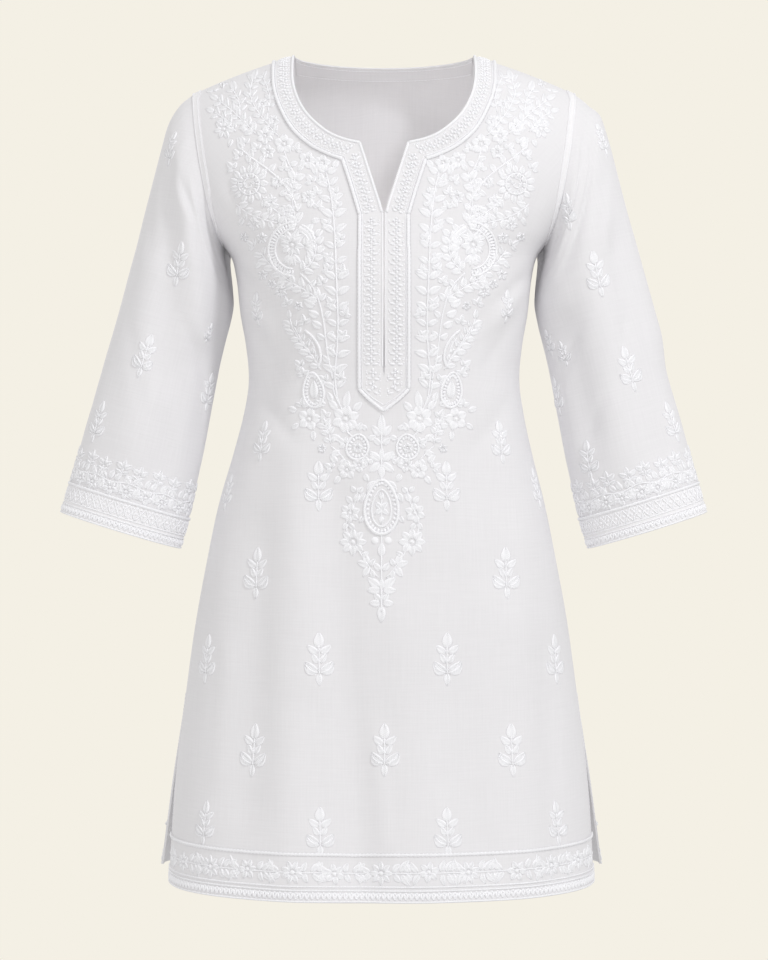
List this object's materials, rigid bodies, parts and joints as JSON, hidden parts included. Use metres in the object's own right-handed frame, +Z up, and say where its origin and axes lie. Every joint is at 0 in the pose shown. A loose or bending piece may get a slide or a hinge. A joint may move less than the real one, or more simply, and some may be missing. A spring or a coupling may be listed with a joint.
{
  "type": "kurta tunic",
  "caption": "White cotton kurta tunic, open and rounded as worn, with a notched round neck and placket, three-quarter sleeves, side vents and floral whitework",
  "frame": {"origin": "midway between the shoulders, in the plane of the shoulder and side seams, at the middle height of a shoulder seam", "axes": "+Z is up, -Y is the front, +X is the wearer's left"},
  "size_m": [0.644, 0.3174, 0.8235],
  "materials": {
    "cotton": "fine white cotton voile, slightly slubbed, matte, semi-sheer",
    "embroidered_band": "white cotton covered with white satin-stitch and cord embroidery",
    "embroidery_thread": "white stranded cotton thread in raised satin stitch, soft sheen"
  },
  "bodies": {
    "root": {"front_panel": "cotton", "back_panel": "cotton", "sleeve_left": "cotton", "sleeve_right": "cotton", "neck_placket_band": "embroidered_band", "back_neck_facing": "cotton", "hem_band_front": "embroidered_band", "hem_band_back": "embroidered_band", "cuff_band_left": "embroidered_band", "cuff_band_right": "embroidered_band", "armhole_strip_front_left": "cotton", "armhole_strip_front_right": "cotton", "armhole_strip_back_left": "cotton", "armhole_strip_back_right": "cotton", "vent_facing_front_left": "cotton", "vent_facing_front_right": "cotton", "vent_facing_back_left": "cotton", "vent_facing_back_right": "cotton"}
  },
  "joints": []
}
